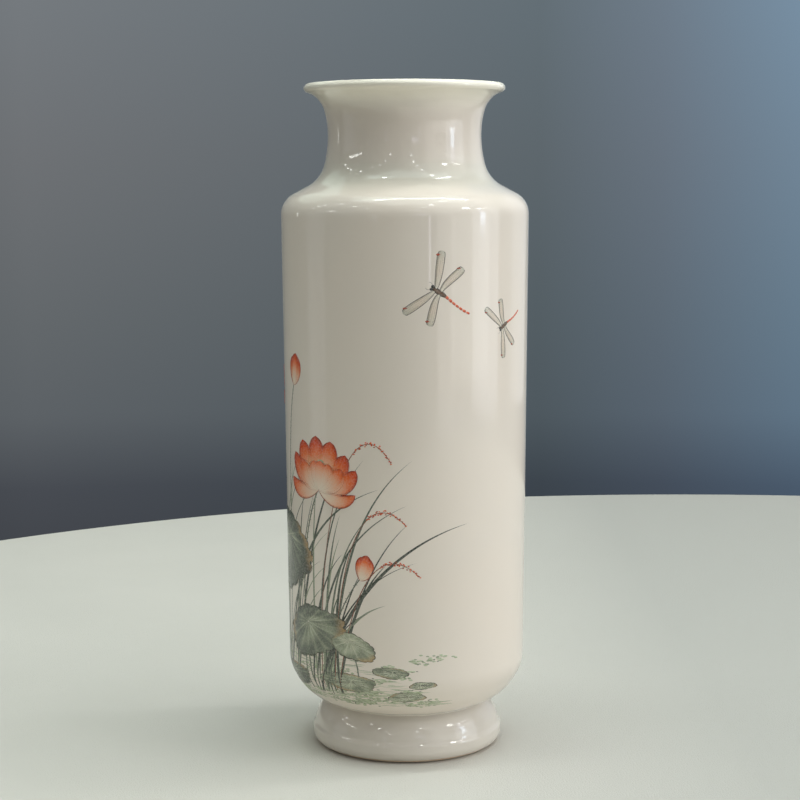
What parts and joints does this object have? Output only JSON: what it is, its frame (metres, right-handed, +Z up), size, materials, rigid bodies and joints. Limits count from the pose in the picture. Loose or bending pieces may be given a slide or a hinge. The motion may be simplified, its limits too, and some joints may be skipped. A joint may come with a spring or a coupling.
{
  "type": "rouleau vase",
  "caption": "Tall cylindrical glazed porcelain vase with a rounded shoulder, waisted neck, flared lip and turned foot ring, luted together from thrown sections.",
  "frame": {"origin": "centre of the foot rim, on the surface that the vase stands on", "axes": "+Z up along the vase's axis, -Y towards the viewer of the picture, +X to that viewer's right"},
  "size_m": [0.1078, 0.1078, 0.29],
  "materials": {
    "biscuit": "unglazed fired porcelain body, matt",
    "luting_slip": "fired porcelain slip, matt",
    "glaze": "glossy clear glaze on a warm greyish white body"
  },
  "bodies": {
    "root": {"foot_ring": "biscuit", "base_bowl": "biscuit", "lower_wall": "biscuit", "upper_wall": "biscuit", "shoulder_section": "biscuit", "neck_and_lip": "biscuit", "foot_luting_slip": "luting_slip", "heel_luting_slip": "luting_slip", "waist_luting_slip": "luting_slip", "shoulder_luting_slip": "luting_slip", "neck_luting_slip": "luting_slip", "outer_glaze": "glaze", "inner_glaze": "glaze", "base_glaze": "glaze"}
  },
  "joints": []
}
